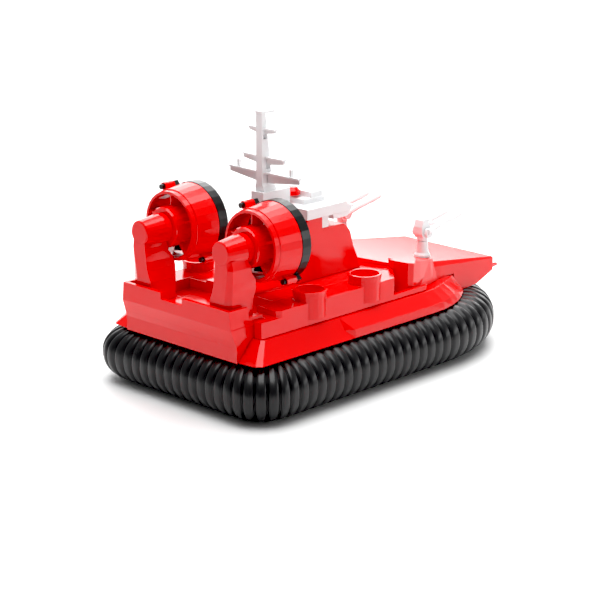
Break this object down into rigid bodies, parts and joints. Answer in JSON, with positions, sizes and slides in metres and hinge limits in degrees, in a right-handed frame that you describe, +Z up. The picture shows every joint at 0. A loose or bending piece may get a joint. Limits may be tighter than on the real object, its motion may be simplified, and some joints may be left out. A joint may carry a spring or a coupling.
{
  "type": "toy hovercraft",
  "caption": "Plastic toy hovercraft with a ribbed ring skirt, ducted stern propellers on pylons, a tower with mast, and twin-barrel monitors on the foredeck.",
  "frame": {"origin": "on the floor, under the middle of the skirt", "axes": "+X to the bow, +Y to port, +Z up"},
  "size_m": [0.3549, 0.21, 0.228],
  "materials": {
    "red_plastic": "glossy moulded",
    "black_plastic": "satin moulded",
    "white_plastic": "glossy moulded"
  },
  "bodies": {
    "hull": {"skirt": "black_plastic", "belly_pan": "black_plastic", "hull_base": "red_plastic", "main_deck": "red_plastic", "bow_hull": "red_plastic", "transom": "red_plastic", "tower": "red_plastic", "wheelhouse": "white_plastic", "mast": "white_plastic", "beacon": "red_plastic", "deckhouse_port": "red_plastic", "deckhouse_starboard": "red_plastic", "intake_hub_aft_port": "red_plastic", "intake_hub_aft_starboard": "red_plastic", "intake_hub_forward_port": "red_plastic", "intake_hub_forward_starboard": "red_plastic", "pylon_port": "red_plastic", "pylon_starboard": "red_plastic", "duct_port": "red_plastic", "duct_starboard": "red_plastic", "duct_ring_port": "black_plastic", "duct_ring_starboard": "black_plastic", "monitor_pedestal_port": "white_plastic", "monitor_pedestal_starboard": "white_plastic"},
    "propeller_port": {"propeller_port": "black_plastic"},
    "propeller_starboard": {"propeller_starboard": "black_plastic"},
    "monitor_yoke_port": {"monitor_yoke_port": "white_plastic"},
    "monitor_yoke_starboard": {"monitor_yoke_starboard": "white_plastic"},
    "monitor_barrels_port": {"monitor_barrels_port": "white_plastic"},
    "monitor_barrels_starboard": {"monitor_barrels_starboard": "white_plastic"}
  },
  "joints": [
    {"name": "propeller_spin_port", "type": "hinge", "parent": "hull", "child": "propeller_port", "pos_m": [-0.1105, 0.0477, 0.1337], "axis": [1, 0, 0], "continuous": true},
    {"name": "propeller_spin_starboard", "type": "hinge", "parent": "hull", "child": "propeller_starboard", "pos_m": [-0.1105, -0.0477, 0.1337], "axis": [1, 0, 0], "continuous": true},
    {"name": "monitor_swivel_port", "type": "hinge", "parent": "hull", "child": "monitor_yoke_port", "pos_m": [0.0765, 0.048, 0.1], "axis": [0, 0, 1], "range_deg": [-90, 90]},
    {"name": "monitor_swivel_starboard", "type": "hinge", "parent": "hull", "child": "monitor_yoke_starboard", "pos_m": [0.0765, -0.048, 0.1], "axis": [0, 0, 1], "range_deg": [-90, 90]},
    {"name": "monitor_tilt_port", "type": "hinge", "parent": "monitor_yoke_port", "child": "monitor_barrels_port", "pos_m": [0.0765, 0.048, 0.108], "axis": [0, -1, 0], "range_deg": [-15, 45]},
    {"name": "monitor_tilt_starboard", "type": "hinge", "parent": "monitor_yoke_starboard", "child": "monitor_barrels_starboard", "pos_m": [0.0765, -0.048, 0.108], "axis": [0, -1, 0], "range_deg": [-15, 45]}
  ]
}
